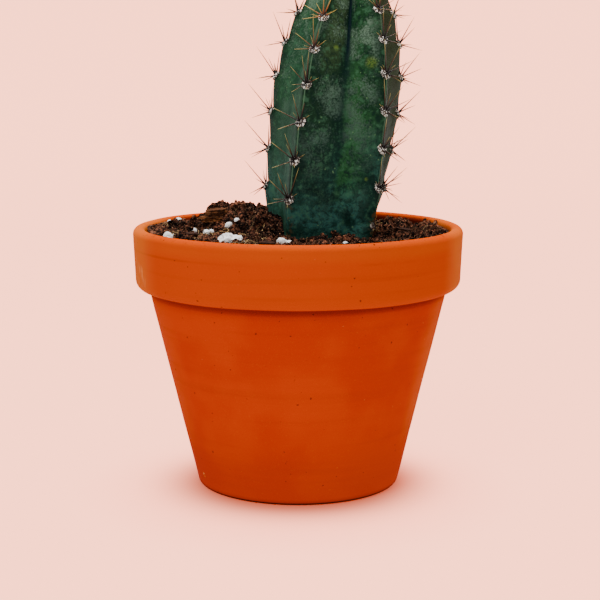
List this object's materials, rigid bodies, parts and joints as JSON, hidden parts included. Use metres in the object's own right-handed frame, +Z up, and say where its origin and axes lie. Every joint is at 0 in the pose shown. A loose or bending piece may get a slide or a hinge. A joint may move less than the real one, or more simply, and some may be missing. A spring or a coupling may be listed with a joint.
{
  "type": "potted columnar cactus",
  "caption": "Young columnar cactus with deep ribs, woolly spine cushions and long spines, growing in a plain clay pot of gritty potting mix.",
  "frame": {"origin": "centre of the pot's underside, on the pot's axis, on the surface it stands on", "axes": "+Z up along the pot's axis; -Y is the front that the picture shows; +X is to the right in the picture, the way the stem leans"},
  "size_m": [0.11, 0.11, 0.1786],
  "materials": {
    "clay": "matte",
    "potting_mix": "matte",
    "cactus_skin": "satin",
    "areole_wool": "matte",
    "spine": "satin",
    "perlite": "matte",
    "bark": "matte"
  },
  "bodies": {
    "root": {"pot": "clay", "soil": "potting_mix", "cactus": "cactus_skin"}
  },
  "joints": []
}
